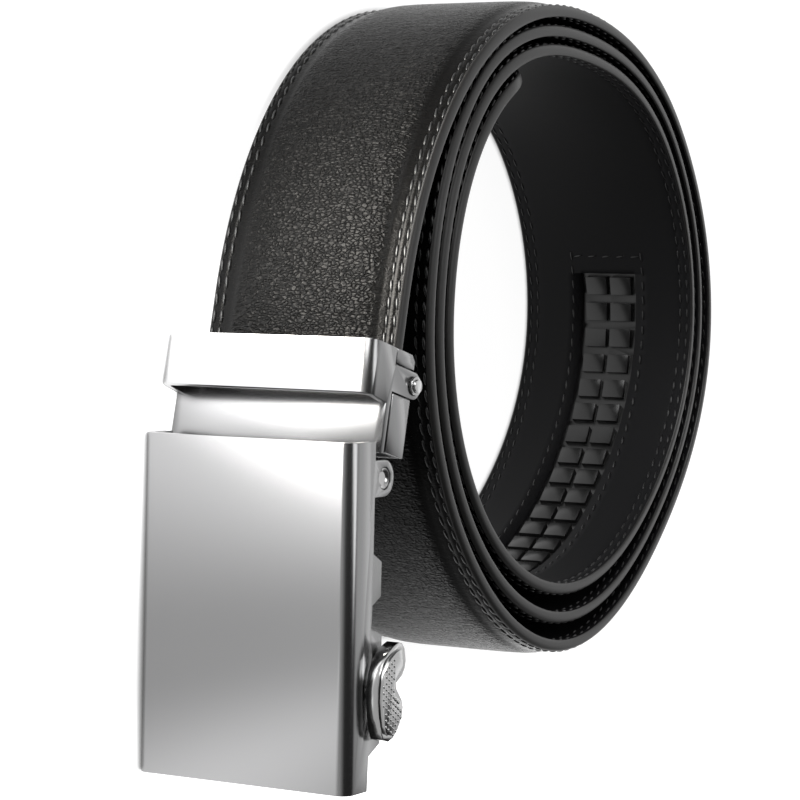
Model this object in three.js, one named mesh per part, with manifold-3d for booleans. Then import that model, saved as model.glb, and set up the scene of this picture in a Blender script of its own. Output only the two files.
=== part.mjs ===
// Coiled dress belt with a ratchet buckle, in millimetres, +Z up.
// The coil lies on its side: the strap stands on its lower edge and winds clockwise seen from above,
// from the clamp at the front (-Y) round to the tongue, which ends inside the coil.
import * as THREE from 'three';
import { mergeVertices } from 'three/addons/utils/BufferGeometryUtils.js';
import Module from 'manifold-3d';

const wasm = await Module();
wasm.setup();

// Strap
const strapWidth = 35;
const leatherEdge = 1.1;
const domeRise = 0.7;
const liningThickness = 0.9;
const plyGap = 0.2;
const edgeRound = 0.4;
const seamMargin = 4.6;
const shoulderWidth = 7;
const stationAngle = 7.5;

// Coil
const coilRadius = 46.5;
const lapAir = 0.3;
const clampStandoff = 8.25;
const tongueAngle = 1145;
const tongueLength = 11;

// Ratchet track and the window that shows it
const windowStartAngle = 886;
const windowWidth = 11.7;
const windowTongueMargin = 34.7;
const windowEndMargin = 1.5;
const trackBaseWidth = 15.8;
const trackBaseThickness = 0.4;
const trackClearance = 0.3;
const toothPitch = 4.95;
const toothLength = 3.4;
const toothWidth = 4.3;
const toothColumnGap = 0.8;
const toothRecess = 0.1;
const toothSlope = 0.3;

// Buckle, shared sizes
const buckleMargin = 1.5;
const sheet = 1.2;
const cornerRadius = 2;
const runningGap = 0.3;
const seamGap = 0.25;
const roundSides = 20;

// Clamp
const bandHeight = 8.3;
const bandSideDepth = 6.8;
const strapDepth = 9.7;
const clampLead = 7.3;
const strapEndLength = 20.6;
const plateStart = 2;
const plateDepth = 5.5;
const ribStart = 5;
const ribPitch = 4;
const ribWidth = 1;
const ribHeight = 0.55;
const ribInset = 2;
const earRadius = 2.1;
const jawPinAlong = 4.7;
const jawPinDepth = 13.3;
const jawPinRadius = 1.1;
const jawPinHeadRadius = 1.5;
const jawPinHeadHeight = 0.8;
const jawBarrelRadius = 1.9;
const jawTailMargin = 3.8;
const jawArmFront = 7.3;
const jawThickness = 1.2;

// Case and its hinge
const caseLength = 53;
const caseSideDepth = 6.6;
const hingeAlong = 20;
const hingeDepth = 8.1;
const casePinAlong = 5.65;
const casePinDepth = 9.4;
const casePinRadius = 1.2;
const casePinHeadRadius = 1.6;
const casePinHeadDepth = 0.5;
const knuckleRadius = 1.95;
const caseEarRadius = 2.8;
const caseFold = 12.7;
const guideBarAlong = 21;
const guideBarDepth = 8;
const guideBarRadius = 1;

// Release knob and pawl
const pivotAlong = 38.2;
const pivotDepth = 7.9;
const shaftRadius = 1.1;
const knobLength = 15;
const knobDepth = 7.4;
const knobThickness = 2.6;
const knobBevel = 0.5;
const pawlWidth = 10;
const pawlLength = 8;
const pawlBarrelRadius = 1.8;
const pawlBarrelWidth = 30;
const pawlTipDepth = 5.4;

const rad = THREE.MathUtils.degToRad;
const leatherInner = liningThickness + plyGap;
const edgeThickness = leatherInner + leatherEdge;
const fullThickness = edgeThickness + domeRise;
const lapPitch = fullThickness + lapAir;
const buckleWidth = strapWidth + 2 * buckleMargin;
const clampLift = buckleMargin;
const mid = strapWidth / 2;
const jawReach = hingeAlong - jawTailMargin;

// Out-of-round of the coil, one row for each eighth of a lap: share of coilRadius.
const roundness = [1.004, 1.02, 0.974, 1.024, 1.039, 0.974, 0.966, 0.985];

// The laps, one row for each eighth of a lap from the clamp: laps of strap between this stretch and the
// innermost one, share of the clamp's stand-off, share of the clamp's lift. The first row lies before the
// clamp and sets the heading of the strap there.
const lapTable = [
  { laps: 3, standoff: 2.5, lift: 1 },
  { laps: 3, standoff: 1, lift: 1 },
  { laps: 3, standoff: 0.14, lift: 0.6 },
  { laps: 2.25 }, { laps: 2 }, { laps: 2.6 }, { laps: 2.3 }, { laps: 3.1 }, { laps: 2.28 },
  { laps: 2 }, { laps: 2.2 }, { laps: 1.13 }, { laps: 1 }, { laps: 1.15 }, { laps: 1.05 }, { laps: 1.56 },
  { laps: 1.2 }, { laps: 1 }, { laps: 1.13 }, { laps: 0.13 }, { laps: 0 }, { laps: 0 }, { laps: -0.2 },
  { laps: 0 }, { laps: 0 }, { laps: 0 }, { laps: 0 }, { laps: -0.6 },
];
const rowAngle = 45;

// Smooth curve through evenly spaced values.
function smooth(valueAt, position) {
  const i = Math.floor(position);
  const t = position - i;
  const [a, b, c, d] = [valueAt(i - 1), valueAt(i), valueAt(i + 1), valueAt(i + 2)];
  const slopeB = (c - a) / 2;
  const slopeC = (d - b) / 2;
  return (2 * t ** 3 - 3 * t ** 2 + 1) * b + (t ** 3 - 2 * t ** 2 + t) * slopeB
    + (3 * t ** 2 - 2 * t ** 3) * c + (t ** 3 - t ** 2) * slopeC;
}

function lapValue(column, turn) {
  const valueAt = (i) => (lapTable[Math.max(i + 1, 0)] ?? {})[column] ?? 0;
  return smooth(valueAt, turn / rowAngle);
}

// Radius of the strap's inner face at a turn angle counted from the clamp.
function innerRadius(turn) {
  const n = roundness.length;
  const share = smooth((i) => roundness[((i % n) + n) % n], turn / rowAngle);
  return coilRadius * share + lapPitch * lapValue('laps', turn) + clampStandoff * lapValue('standoff', turn);
}

function routePoint(turn) {
  const a = rad(turn);
  const r = innerRadius(turn);
  return new THREE.Vector2(-r * Math.sin(a), -r * Math.cos(a));
}

function heading(turn) {
  const step = 0.5;
  return routePoint(turn + step).sub(routePoint(turn - step)).normalize();
}

// Stations along the strap's inner face: place, outward normal, height and distance from the strap's end.
function makeStations() {
  const stations = [];
  const start = routePoint(0);
  const back = heading(0).negate();
  const add = (point, direction, lift) => {
    const last = stations.at(-1);
    const distance = last ? last.distance + point.distanceTo(last.point) : 0;
    const normal = new THREE.Vector2(-direction.y, direction.x);
    stations.push({ point, normal, direction, lift, distance });
  };
  for (const share of [1, 2 / 3, 1 / 3]) {
    add(start.clone().addScaledVector(back, strapEndLength * share), heading(0), clampLift);
  }
  const steps = Math.round(tongueAngle / stationAngle);
  for (let i = 0; i <= steps; i += 1) {
    const turn = (tongueAngle * i) / steps;
    add(routePoint(turn), heading(turn), clampLift * Math.max(lapValue('lift', turn), 0));
  }
  return stations;
}

const stations = makeStations();
const strapLength = stations.at(-1).distance;

function stationAt(distance) {
  let i = stations.findIndex((s) => s.distance > distance);
  if (i < 1) i = i === 0 ? 1 : stations.length - 1;
  const [a, b] = [stations[i - 1], stations[i]];
  const t = (distance - a.distance) / (b.distance - a.distance);
  const direction = a.direction.clone().lerp(b.direction, t).normalize();
  return {
    point: a.point.clone().lerp(b.point, t),
    direction,
    normal: new THREE.Vector2(-direction.y, direction.x),
    lift: a.lift + (b.lift - a.lift) * t,
    distance,
  };
}

function distanceAtTurn(turn) {
  const first = stations.findIndex((s) => s.point.distanceTo(routePoint(0)) < 1e-6);
  const steps = stations.length - 1 - first;
  const position = first + (turn / tongueAngle) * steps;
  const i = Math.min(Math.floor(position), stations.length - 2);
  const [a, b] = [stations[i], stations[i + 1]];
  return a.distance + (b.distance - a.distance) * (position - i);
}

// The tongue narrows to a blunt round end: share of the half width left at a distance from its tip.
function tongueShare(distance) {
  const t = THREE.MathUtils.clamp((strapLength - distance) / tongueLength, 0, 1);
  return 0.5 + 0.5 * Math.sqrt(1 - (1 - t) ** 2);
}

// Closed strip with a section of [across, outward] points carried along a list of stations.
function sweep(outline, path) {
  const flat = outline.map(([x, y]) => new THREE.Vector2(x, y));
  const section = THREE.ShapeUtils.isClockWise(flat) ? [...outline].reverse() : outline;
  const count = section.length;
  const positions = [];
  for (const s of path) {
    const share = tongueShare(s.distance);
    for (const [across, outward] of section) {
      positions.push(
        s.point.x + s.normal.x * outward,
        s.point.y + s.normal.y * outward,
        s.lift + mid + (across - mid) * share,
      );
    }
  }
  const index = [];
  for (let k = 0; k + 1 < path.length; k += 1) {
    for (let i = 0; i < count; i += 1) {
      const j = (i + 1) % count;
      const [a, b] = [k * count + i, k * count + j];
      index.push(a, b, b + count, a, b + count, a + count);
    }
  }
  const caps = THREE.ShapeUtils.triangulateShape(section.map(([x, y]) => new THREE.Vector2(x, y)), []);
  const end = (path.length - 1) * count;
  for (const [a, b, c] of caps) {
    index.push(c, b, a);
    index.push(end + a, end + b, end + c);
  }
  const geometry = new THREE.BufferGeometry();
  geometry.setAttribute('position', new THREE.Float32BufferAttribute(positions, 3));
  geometry.setIndex(index);
  return geometry;
}

function signedVolume(positions, index) {
  const [a, b, c] = [new THREE.Vector3(), new THREE.Vector3(), new THREE.Vector3()];
  let total = 0;
  for (let i = 0; i < index.length; i += 3) {
    a.fromArray(positions, index[i] * 3);
    b.fromArray(positions, index[i + 1] * 3);
    c.fromArray(positions, index[i + 2] * 3);
    total += a.dot(b.cross(c)) / 6;
  }
  return total;
}

// A geometry as a solid for cutting and joining, with its faces turned outwards.
function solid(geometry) {
  const bare = geometry.clone();
  bare.deleteAttribute('normal');
  bare.deleteAttribute('uv');
  const merged = mergeVertices(bare, 1e-4);
  const vertProperties = new Float32Array(merged.attributes.position.array);
  const triVerts = new Uint32Array(merged.index.array);
  if (signedVolume(vertProperties, triVerts) < 0) {
    for (let i = 0; i < triVerts.length; i += 3) {
      [triVerts[i], triVerts[i + 1]] = [triVerts[i + 1], triVerts[i]];
    }
  }
  return new wasm.Manifold(new wasm.Mesh({ numProp: 3, vertProperties, triVerts }));
}

function mesh(name, body, finish) {
  const { vertProperties, triVerts } = body.getMesh();
  const geometry = new THREE.BufferGeometry();
  geometry.setAttribute('position', new THREE.Float32BufferAttribute(vertProperties, 3));
  geometry.setIndex([...triVerts]);
  geometry.computeVertexNormals();
  const result = new THREE.Mesh(geometry, new THREE.MeshStandardMaterial(finish));
  result.name = name;
  return result;
}

// Extrusion of a side outline of [along, depth] points between two heights.
function prism(outline, low, high) {
  const shape = new THREE.Shape(outline.map(([x, y]) => new THREE.Vector2(x, y)));
  const geometry = new THREE.ExtrudeGeometry(shape, { depth: high - low, bevelEnabled: false });
  return solid(geometry.translate(0, 0, low));
}

function disc(along, depth, radius, low, high) {
  const outline = [];
  for (let i = 0; i < roundSides; i += 1) {
    const a = (2 * Math.PI * i) / roundSides;
    outline.push([along + radius * Math.cos(a), depth + radius * Math.sin(a)]);
  }
  return prism(outline, low, high);
}

function slab(along0, along1, depth0, depth1, low, high) {
  return prism([[along0, depth0], [along1, depth0], [along1, depth1], [along0, depth1]], low, high);
}

// U-shaped channel across the buckle: a front wall and two side walls with rounded corners.
function channel(from, to, depth) {
  const half = buckleWidth / 2;
  const inner = half - sheet;
  const innerCorner = Math.max(cornerRadius - sheet, 0.2);
  const shape = new THREE.Shape();
  shape.moveTo(-half, depth);
  shape.lineTo(-half, cornerRadius);
  shape.absarc(-half + cornerRadius, cornerRadius, cornerRadius, Math.PI, 1.5 * Math.PI, false);
  shape.absarc(half - cornerRadius, cornerRadius, cornerRadius, 1.5 * Math.PI, 2 * Math.PI, false);
  shape.lineTo(half, depth);
  shape.lineTo(inner, depth);
  shape.absarc(inner - innerCorner, sheet + innerCorner, innerCorner, 0, -0.5 * Math.PI, true);
  shape.absarc(-inner + innerCorner, sheet + innerCorner, innerCorner, 1.5 * Math.PI, Math.PI, true);
  shape.lineTo(-inner, depth);
  const geometry = new THREE.ExtrudeGeometry(shape, {
    depth: to - from, bevelEnabled: false, curveSegments: 5,
  });
  geometry.translate(0, 0, from).rotateY(Math.PI / 2).translate(0, 0, half);
  return solid(geometry);
}

const blackLeather = { color: 0x1a1817, roughness: 0.5, metalness: 0 };
const liningFinish = { color: 0x141416, roughness: 0.8, metalness: 0 };
const trackFinish = { color: 0x101010, roughness: 0.35, metalness: 0 };
const satinMetal = { color: 0xb4b5b7, roughness: 0.3, metalness: 1 };
const polishedMetal = { color: 0xc4c4c4, roughness: 0.12, metalness: 1 };

const centre = (halfWidth, low, high) => [
  [mid - halfWidth, low], [mid + halfWidth, low], [mid + halfWidth, high], [mid - halfWidth, high],
];

// Stretch of the strap from the window's start to its end.
function windowPath(extra) {
  const from = distanceAtTurn(windowStartAngle) - extra;
  const to = strapLength - windowTongueMargin + extra;
  const inside = stations.filter((s) => s.distance > from && s.distance < to);
  return [stationAt(from), ...inside, stationAt(to)];
}

function makeLeather() {
  const top = leatherInner + leatherEdge;
  const low = [
    [0, leatherInner], [0, top - edgeRound], [edgeRound, top], [seamMargin, top],
    [seamMargin + 0.343 * shoulderWidth, top + domeRise * 0.72],
    [seamMargin + shoulderWidth, top + domeRise * 0.98],
  ];
  const high = low.map(([x, y]) => [strapWidth - x, y]).reverse();
  const pocketTop = leatherInner + 2 * trackClearance + trackBaseThickness - plyGap;
  const pocket = centre(trackBaseWidth / 2 + trackClearance, leatherInner - plyGap / 2, pocketTop);
  const whole = solid(sweep([...low, ...high], stations));
  return whole.subtract(solid(sweep(pocket, windowPath(windowEndMargin + 2 * trackClearance))));
}

function makeLining() {
  const section = [[0, 0], [strapWidth, 0], [strapWidth, liningThickness], [0, liningThickness]];
  const opening = centre(windowWidth / 2, -liningThickness, 2 * liningThickness);
  return solid(sweep(section, stations)).subtract(solid(sweep(opening, windowPath(0))));
}

// One tooth: a block that leans on the base strip, lower at the end nearer the tongue.
function makeTooth(distance, across) {
  const s = stationAt(distance);
  const baseFace = liningThickness + trackClearance;
  const outline = [
    [-toothLength / 2, toothRecess], [toothLength / 2, toothRecess + toothSlope],
    [toothLength / 2, baseFace + trackBaseThickness / 2], [-toothLength / 2, baseFace + trackBaseThickness / 2],
  ].map(([along, outward]) => [
    s.point.x + s.direction.x * along + s.normal.x * outward,
    s.point.y + s.direction.y * along + s.normal.y * outward,
  ]);
  return prism(outline, s.lift + mid + across - toothWidth / 2, s.lift + mid + across + toothWidth / 2);
}

function makeTrack() {
  const base = centre(
    trackBaseWidth / 2, liningThickness + trackClearance,
    liningThickness + trackClearance + trackBaseThickness,
  );
  const path = windowPath(windowEndMargin);
  const from = distanceAtTurn(windowStartAngle) + toothPitch / 2;
  const to = strapLength - windowTongueMargin - toothPitch / 2;
  const teeth = [];
  const column = (toothWidth + toothColumnGap) / 2;
  for (let distance = from; distance <= to; distance += toothPitch) {
    teeth.push(makeTooth(distance, -column), makeTooth(distance, column));
  }
  return wasm.Manifold.union([solid(sweep(base, path)), ...teeth]);
}

const strapInner = strapDepth + fullThickness / 2;
const jawPlateFront = strapInner + runningGap;
const earLow = jawPinAlong - earRadius;
const earHigh = jawPinAlong + earRadius;
const half = buckleWidth / 2;

// Both side walls at once, from an outline seen from the side.
function sideWalls(outline, inset = 0) {
  return prism(outline, inset, sheet).add(prism(outline, buckleWidth - sheet, buckleWidth - inset));
}

function makeClampFrame() {
  const silhouette = [
    [0, 0], [bandHeight, 0], [bandHeight + 0.6, bandSideDepth], [0.1, bandSideDepth],
  ];
  let frame = channel(-1, bandHeight + 2, bandSideDepth).intersect(prism(silhouette, 0, buckleWidth));
  const backEdge = jawPlateFront + jawThickness;
  frame = frame.add(sideWalls([
    [0.1, bandSideDepth - 1], [earHigh, bandSideDepth - 1], [earHigh, jawPinDepth],
    [earLow, jawPinDepth], [earLow, backEdge], [1, backEdge], [0.1, backEdge - 1],
  ]));
  for (const [low, high] of [[0, sheet], [buckleWidth - sheet, buckleWidth]]) {
    frame = frame.add(disc(jawPinAlong, jawPinDepth, earRadius, low, high));
  }
  frame = frame.add(slab(0.1, earLow, jawPlateFront, backEdge, 0.5, buckleWidth - 0.5));
  // Recessed plate: full width under the band, narrower where it enters the case
  const plateEnd = hingeAlong - knuckleRadius - 1.6;
  frame = frame.add(slab(plateStart, plateEnd, plateDepth, plateDepth + sheet, 0, buckleWidth));
  const inset = sheet + runningGap;
  const [narrowLow, narrowHigh] = [inset, buckleWidth - inset];
  frame = frame.add(slab(plateEnd - 1, hingeAlong, plateDepth, plateDepth + sheet, narrowLow, narrowHigh));
  frame = frame.add(disc(hingeAlong, hingeDepth, knuckleRadius, narrowLow, narrowHigh));
  frame = frame.add(slab(
    hingeAlong - knuckleRadius, hingeAlong, plateDepth, hingeDepth, narrowLow, narrowHigh,
  ).intersect(disc(hingeAlong, hingeDepth, hingeDepth - plateDepth, narrowLow, narrowHigh)));
  // Ribs that bite the front of the strap
  for (const along of [ribStart, ribStart + ribPitch, ribStart + 2 * ribPitch]) {
    const back = plateDepth + sheet;
    const rib = [[along, back - 0.2], [along + ribWidth, back - 0.2], [along + ribWidth / 2, back + ribHeight]];
    frame = frame.add(prism(rib, clampLift + ribInset, buckleWidth - clampLift - ribInset));
  }
  // Seams between the side wall, the ear and the back bar
  const seamDepth = sheet / 2;
  for (const [low, high] of [[-1, seamDepth], [buckleWidth - seamDepth, buckleWidth + 1]]) {
    frame = frame.subtract(slab(-1, earLow + 0.2, bandSideDepth, bandSideDepth + seamGap, low, high));
    frame = frame.subtract(slab(earLow - seamGap, earLow, bandSideDepth, jawPinDepth + 1, low, high));
  }
  frame = frame.subtract(disc(jawPinAlong, jawPinDepth, jawPinRadius + runningGap / 2, -1, buckleWidth + 1));
  return frame.subtract(disc(hingeAlong, hingeDepth, casePinRadius + runningGap / 2, -1, buckleWidth + 1));
}

function makeClampJaw() {
  const back = jawPlateFront + jawThickness;
  const armTop = earHigh + runningGap;
  let jaw = slab(armTop, jawReach, jawPlateFront, back, 0, buckleWidth);
  jaw = jaw.add(sideWalls([[armTop, jawArmFront], [jawReach, jawArmFront], [jawReach, back], [armTop, back]]));
  const inset = sheet + runningGap;
  jaw = jaw.add(disc(jawPinAlong, jawPinDepth, jawBarrelRadius, inset, buckleWidth - inset));
  jaw = jaw.add(slab(
    jawPinAlong, armTop + 1, jawPlateFront + 0.6, back + 0.6, inset, buckleWidth - inset,
  ));
  return jaw.subtract(disc(jawPinAlong, jawPinDepth, jawPinRadius + runningGap / 2, -1, buckleWidth + 1));
}

function makeJawPin() {
  const shank = disc(jawPinAlong, jawPinDepth, jawPinRadius, 0.1, buckleWidth + 0.1);
  const top = buckleWidth + 0.1;
  const head = disc(jawPinAlong, jawPinDepth, jawPinHeadRadius, top, top + jawPinHeadHeight / 2);
  const crown = disc(
    jawPinAlong, jawPinDepth, jawPinHeadRadius * 0.7, top + jawPinHeadHeight / 2 - 0.01, top + jawPinHeadHeight,
  );
  return shank.add(head).add(crown);
}

// Side outline of the case behind its face, one row for each corner: share of caseLength along, share of
// caseSideDepth behind the face.
const caseSide = [
  { along: 0, depth: 1 }, { along: 0.32, depth: 1 }, { along: 0.345, depth: 1.38 },
  { along: 0.445, depth: 1.38 }, { along: 0.468, depth: 1 }, { along: 0.536, depth: 0.97 },
  { along: 0.556, depth: 1.46 }, { along: 0.87, depth: 1.46 }, { along: 0.9, depth: 0.97 },
  { along: 1, depth: 0.93 },
];

function makeCase() {
  const outline = [
    [caseLength, 0], [0, 0],
    ...caseSide.map(({ along, depth }) => [along * caseLength, depth * caseSideDepth]),
  ];
  const deepest = 2 * caseSideDepth;
  let body = channel(0, caseLength, deepest).intersect(prism(outline, 0, buckleWidth));
  const [low, high] = [casePinAlong - caseEarRadius, casePinAlong + caseEarRadius];
  body = body.add(sideWalls([
    [low, caseSideDepth - 1], [high, caseSideDepth - 1], [high, casePinDepth], [low, casePinDepth],
  ]));
  for (const [z0, z1] of [[0, sheet], [buckleWidth - sheet, buckleWidth]]) {
    body = body.add(disc(casePinAlong, casePinDepth, caseEarRadius, z0, z1));
  }
  body = body.add(disc(guideBarAlong, guideBarDepth, guideBarRadius, sheet / 2, buckleWidth - sheet / 2));
  body = body.subtract(disc(casePinAlong, casePinDepth, casePinRadius + runningGap / 2, -1, buckleWidth + 1));
  for (const [z0, z1] of [[-1, casePinHeadDepth], [buckleWidth - casePinHeadDepth, buckleWidth + 1]]) {
    body = body.subtract(disc(casePinAlong, casePinDepth, casePinHeadRadius + runningGap / 2, z0, z1));
  }
  return body.subtract(disc(pivotAlong, pivotDepth, shaftRadius + runningGap / 2, -1, buckleWidth + 1));
}

function makeCasePin() {
  const [low, high] = [casePinHeadDepth + runningGap / 2, buckleWidth - casePinHeadDepth - runningGap / 2];
  let pin = disc(hingeAlong, hingeDepth, casePinRadius, 0.1, buckleWidth - 0.1);
  for (const [z0, z1] of [[0.1, low - runningGap], [high + runningGap, buckleWidth - 0.1]]) {
    pin = pin.add(disc(hingeAlong, hingeDepth, casePinHeadRadius, z0, z1));
  }
  return pin;
}

// Kidney outline of the knob around its shaft, one row for each point: along and depth in shares of the
// knob's length and depth, counted from the shaft.
const knobOutline = [
  { along: -0.5, depth: 0.5 }, { along: -0.44, depth: 0.62 }, { along: -0.37, depth: 0.65 },
  { along: -0.28, depth: 0.6 }, { along: -0.21, depth: 0.5 }, { along: -0.17, depth: 0.36 },
  { along: -0.13, depth: 0.2 }, { along: -0.06, depth: 0.22 }, { along: 0.01, depth: 0.35 },
  { along: 0.09, depth: 0.5 }, { along: 0.18, depth: 0.56 }, { along: 0.27, depth: 0.53 },
  { along: 0.37, depth: 0.42 }, { along: 0.45, depth: 0.23 }, { along: 0.48, depth: 0.02 },
  { along: 0.45, depth: -0.2 }, { along: 0.36, depth: -0.31 }, { along: 0.22, depth: -0.38 },
  { along: 0.07, depth: -0.43 }, { along: -0.08, depth: -0.43 }, { along: -0.22, depth: -0.37 },
  { along: -0.33, depth: -0.25 }, { along: -0.42, depth: -0.05 }, { along: -0.48, depth: 0.18 },
  { along: -0.51, depth: 0.38 },
];

function makeKnob() {
  const outline = (inset) => knobOutline.map(({ along, depth }) => {
    const shrink = 1 - inset / (knobDepth / 2);
    return [pivotAlong + along * knobLength * shrink, pivotDepth + depth * knobDepth * shrink];
  });
  const low = buckleWidth + runningGap;
  const high = low + knobThickness;
  const shape = prism(outline(0), low, high - knobBevel).add(
    prism(outline(knobBevel), high - knobBevel - 0.01, high),
  );
  const shaft = disc(pivotAlong, pivotDepth, shaftRadius, 0.1, low + 0.5);
  return shape.add(shaft);
}

function makePawl() {
  const barrel = disc(
    pivotAlong, pivotDepth, pawlBarrelRadius, half - pawlBarrelWidth / 2, half + pawlBarrelWidth / 2,
  );
  const tongue = prism([
    [pivotAlong, pivotDepth - pawlBarrelRadius], [pivotAlong - pawlLength + 1, pawlTipDepth],
    [pivotAlong - pawlLength, pawlTipDepth + 0.2], [pivotAlong - pawlLength + 0.6, pawlTipDepth + 1.4],
    [pivotAlong, pivotDepth + pawlBarrelRadius - 0.3],
  ], half - pawlWidth / 2, half + pawlWidth / 2);
  const bore = disc(pivotAlong, pivotDepth, shaftRadius + runningGap / 2, -1, buckleWidth + 1);
  return barrel.add(tongue).subtract(bore);
}

const belt = new THREE.Group();
belt.add(mesh('leather_strap', makeLeather(), blackLeather));
belt.add(mesh('lining_strap', makeLining(), liningFinish));
belt.add(mesh('ratchet_track', makeTrack(), trackFinish));

// The clamp stands in line with the strap's straight end.
const clamp = new THREE.Group();
const strapHeading = heading(0);
const along = strapHeading.clone().negate();
const inward = new THREE.Vector2(strapHeading.y, -strapHeading.x);
const strapMiddle = routePoint(0).addScaledVector(inward, -fullThickness / 2);
const corner = strapMiddle.addScaledVector(along, clampLead).addScaledVector(inward, -strapDepth);
clamp.position.set(corner.x, corner.y, 0);
clamp.rotation.z = Math.atan2(along.y, along.x);
clamp.add(mesh('clamp_frame', makeClampFrame(), satinMetal));
clamp.add(mesh('clamp_jaw', makeClampJaw(), satinMetal));
clamp.add(mesh('jaw_pin', makeJawPin(), polishedMetal));
clamp.add(mesh('case_pin', makeCasePin(), polishedMetal));
belt.add(clamp);

// The case hangs on the clamp's hinge pin, folded back a little.
const hinge = new THREE.Group();
hinge.position.set(hingeAlong, hingeDepth, 0);
hinge.rotation.z = rad(caseFold);
const caseGroup = new THREE.Group();
caseGroup.position.set(-casePinAlong, -casePinDepth, 0);
caseGroup.add(mesh('buckle_case', makeCase(), satinMetal));
caseGroup.add(mesh('release_knob', makeKnob(), polishedMetal));
caseGroup.add(mesh('ratchet_pawl', makePawl(), satinMetal));
hinge.add(caseGroup);
clamp.add(hinge);

// The origin is under the middle of the whole belt.
belt.updateMatrixWorld(true);
const box = new THREE.Box3().setFromObject(belt, true);
const middle = box.getCenter(new THREE.Vector3());
belt.position.set(-middle.x, -middle.y, -box.min.z);

export default belt;
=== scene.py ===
"""Looks of the coiled ratchet belt: stitched leather strap, toothed track and metal buckle, in metres."""
import math

import bmesh
import bpy
import numpy as np
from bpy.props import FloatProperty, FloatVectorProperty, PointerProperty
from mathutils import Matrix, Vector


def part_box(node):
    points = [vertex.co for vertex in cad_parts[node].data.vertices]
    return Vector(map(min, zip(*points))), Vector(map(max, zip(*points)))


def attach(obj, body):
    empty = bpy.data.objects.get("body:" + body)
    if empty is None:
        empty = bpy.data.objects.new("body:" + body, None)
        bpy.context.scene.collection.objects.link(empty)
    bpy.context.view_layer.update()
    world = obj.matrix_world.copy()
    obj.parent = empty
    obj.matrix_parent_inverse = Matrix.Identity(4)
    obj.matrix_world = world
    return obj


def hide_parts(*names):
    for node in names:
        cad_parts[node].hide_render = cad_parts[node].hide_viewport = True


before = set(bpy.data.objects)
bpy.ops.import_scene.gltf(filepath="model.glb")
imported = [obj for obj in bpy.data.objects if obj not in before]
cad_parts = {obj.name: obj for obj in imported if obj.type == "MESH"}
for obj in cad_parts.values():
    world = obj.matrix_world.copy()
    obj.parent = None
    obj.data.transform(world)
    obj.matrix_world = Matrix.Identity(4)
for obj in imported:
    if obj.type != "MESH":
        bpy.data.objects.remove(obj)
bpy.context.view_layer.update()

bl_info = {
    "name": "Ratchet belt",
    "version": (1, 0, 0),
    "blender": (4, 5, 0),
    "location": "3D View > Sidebar > Belt",
    "description": "Builds the finished surfaces of a coiled ratchet belt",
    "category": "Object",
}

MM = 0.001

# Strap and coil in millimetres, as in the part's source
STRAP_WIDTH = 35.0
MID = STRAP_WIDTH / 2
LEATHER_EDGE = 1.1
DOME_RISE = 0.7
LINING = 0.9
PLY_GAP = 0.2
COIL_RADIUS = 46.5
LAP_AIR = 0.3
CLAMP_STANDOFF = 8.25
TONGUE_TURN = 1145
TONGUE_LENGTH = 11.0
STRAP_END = 20.6
BUCKLE_WIDTH = 38.0
STATION_STEP = 7.5
EDGE_THICKNESS = LINING + PLY_GAP + LEATHER_EDGE
FULL_THICKNESS = EDGE_THICKNESS + DOME_RISE
LAP_PITCH = FULL_THICKNESS + LAP_AIR
CLAMP_LIFT = (BUCKLE_WIDTH - STRAP_WIDTH) / 2
WINDOW_START_TURN = 886
WINDOW_WIDTH = 11.7
WINDOW_TONGUE_MARGIN = 34.7
TOOTH_PITCH = 4.95
ROW_ANGLE = 45

# Out-of-round of the coil for each eighth of a lap, and the laps themselves, as in the part's source
ROUNDNESS = (1.004, 1.02, 0.974, 1.024, 1.039, 0.974, 0.966, 0.985)
LAPS = (3, 3, 3, 2.25, 2, 2.6, 2.3, 3.1, 2.28, 2, 2.2, 1.13, 1, 1.15, 1.05, 1.56,
        1.2, 1, 1.13, 0.13, 0, 0, -0.2, 0, 0, 0, 0, -0.6)
STANDOFF = (2.5, 1, 0.14)
LIFT = (1, 1, 0.6)


# Knob in millimetres: its pivot, the case's turn in degrees, its face and its outline round the pivot in
# shares of its length and depth, as in the part's source
KNOB_PIVOT = (49.612, -61.0569)
CASE_TURN = 2.6788
KNOB_FACE = 40.88
KNOB_LENGTH, KNOB_DEPTH = 15.0, 7.4
KNOB_OUTLINE = (
    (-0.5, 0.5), (-0.44, 0.62), (-0.37, 0.65), (-0.28, 0.6), (-0.21, 0.5), (-0.17, 0.36), (-0.13, 0.2), (-0.06, 0.22),
    (0.01, 0.35), (0.09, 0.5), (0.18, 0.56), (0.27, 0.53), (0.37, 0.42), (0.45, 0.23), (0.48, 0.02), (0.45, -0.2),
    (0.36, -0.31), (0.22, -0.38), (0.07, -0.43), (-0.08, -0.43), (-0.22, -0.37), (-0.33, -0.25), (-0.42, -0.05),
    (-0.48, 0.18), (-0.51, 0.38),
)
STUD_RADIUS, STUD_HEIGHT, STUD_MARGIN = 0.3, 0.16, 0.8

# Camera in millimetres, from the part's own axis, and in degrees, solved from the laps' rims
CAMERA_PLACE = (14.3926, -441.4974, 247.0548)
CAMERA_ELEVATION, CAMERA_ROLL = 29.28, -2.63
LENS, SENSOR = 126, 36


# Strap route

def smooth(value_at, position):
    """Smooth curve through evenly spaced values."""
    i = math.floor(position)
    t = position - i
    a, b, c, d = (value_at(i + k) for k in (-1, 0, 1, 2))
    slope_b, slope_c = (c - a) / 2, (d - b) / 2
    return ((2 * t ** 3 - 3 * t ** 2 + 1) * b + (t ** 3 - 2 * t ** 2 + t) * slope_b
            + (3 * t ** 2 - 2 * t ** 3) * c + (t ** 3 - t ** 2) * slope_c)


def lap_value(column, turn):
    def value_at(i):
        k = max(i + 1, 0)
        return column[k] if k < len(column) else 0
    return smooth(value_at, turn / ROW_ANGLE)


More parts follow.
